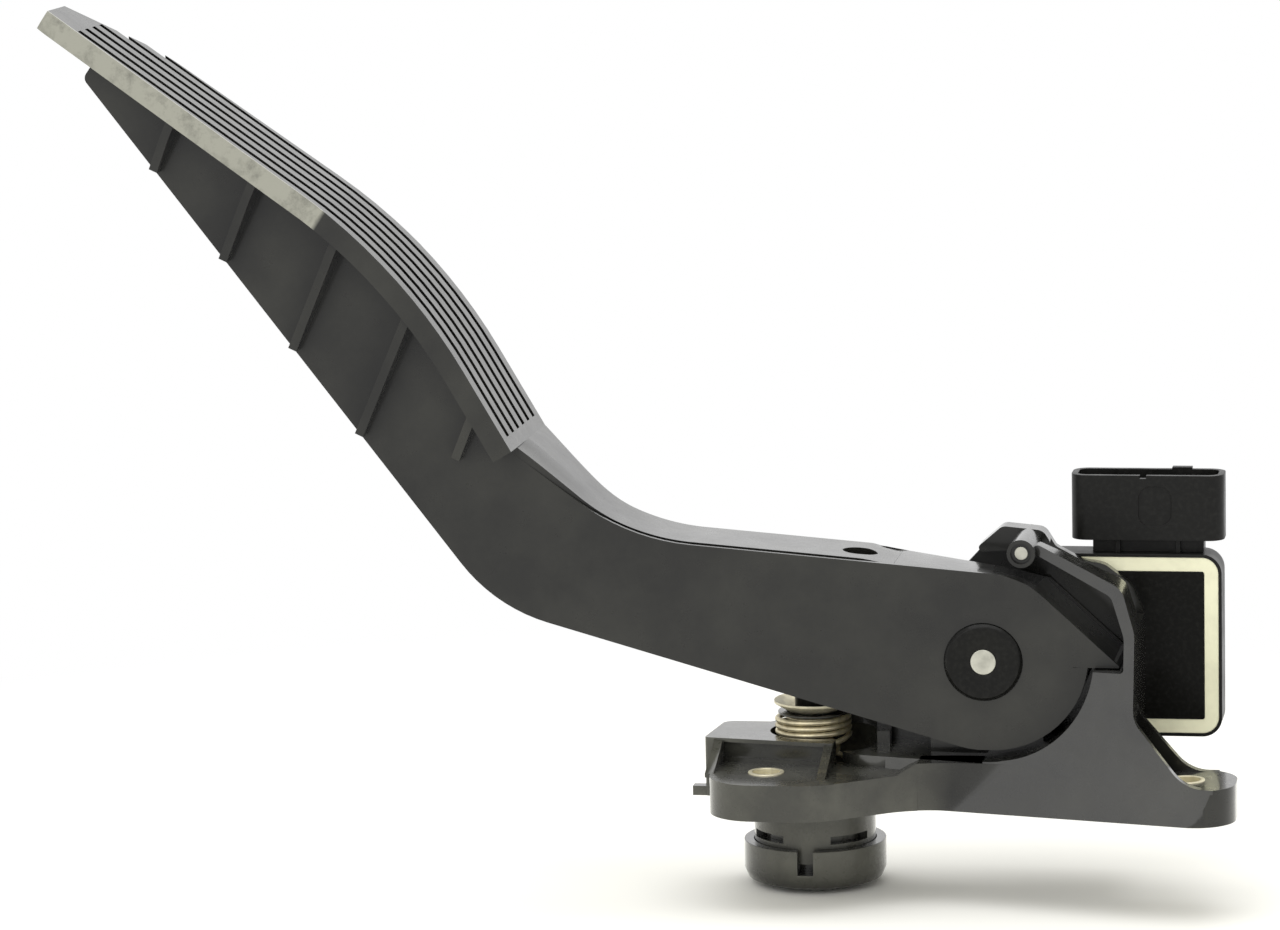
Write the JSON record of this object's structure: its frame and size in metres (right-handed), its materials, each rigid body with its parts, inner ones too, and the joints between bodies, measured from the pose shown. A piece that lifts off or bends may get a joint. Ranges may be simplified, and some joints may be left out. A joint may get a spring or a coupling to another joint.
{
  "type": "accelerator pedal sensor",
  "caption": "Accelerator pedal with a ribbed lever and grooved pad, turning in a moulded two-tab base with return springs and a position sensor with a plug socket.",
  "frame": {"origin": "midway between the two mounting bolts, on the mounting face", "axes": "+X along the bolt line from the pad towards the sensor, +Y from the near side of the housing towards the sensor, +Z away from the mounting face and out of the plug socket"},
  "size_m": [0.2964, 0.0621, 0.2218],
  "materials": {
    "pedal_plastic": "moulded, fine grain",
    "housing_plastic": "moulded, fine grain",
    "cap_plastic": "moulded, smooth",
    "sensor_plastic": "moulded, smooth",
    "black_gloss": "gloss",
    "zinc_steel": "zinc plated",
    "spring_steel": "drawn wire",
    "acetal": "smooth",
    "seal_rubber": "matte",
    "silicone": "matte, poured",
    "circuit_board": "lacquered glass-fibre board",
    "contact_brass": "bright"
  },
  "bodies": {
    "housing": {"base_housing": "housing_plastic", "mount_sleeves": "zinc_steel", "lug_pin": "zinc_steel", "spring_cap": "cap_plastic", "outer_return_spring": "spring_steel", "inner_return_spring": "spring_steel", "pivot_bushes": "acetal", "shaft_seal": "seal_rubber", "sensor_housing": "sensor_plastic", "sensor_cover": "black_gloss", "sensor_sealant": "silicone", "sensor_board": "circuit_board", "connector_terminals": "contact_brass", "sensor_screws": "zinc_steel"},
    "pedal": {"pedal_arm": "pedal_plastic", "pivot_shaft": "zinc_steel", "pivot_cap": "black_gloss", "thrust_washers": "acetal", "upper_spring_seat": "zinc_steel", "spring_plug": "cap_plastic", "sensor_rotor": "acetal", "rotor_wipers": "contact_brass"}
  },
  "joints": [
    {"name": "pedal_pivot", "type": "hinge", "parent": "housing", "child": "pedal", "pos_m": [0.0016, 0.0184, 0.0365], "axis": [0, -1, 0], "range_deg": [0, 13.5], "stiffness_Nm_per_rad": 9, "springref_deg": -22.92, "deforming": ["outer_return_spring", "inner_return_spring"]}
  ]
}
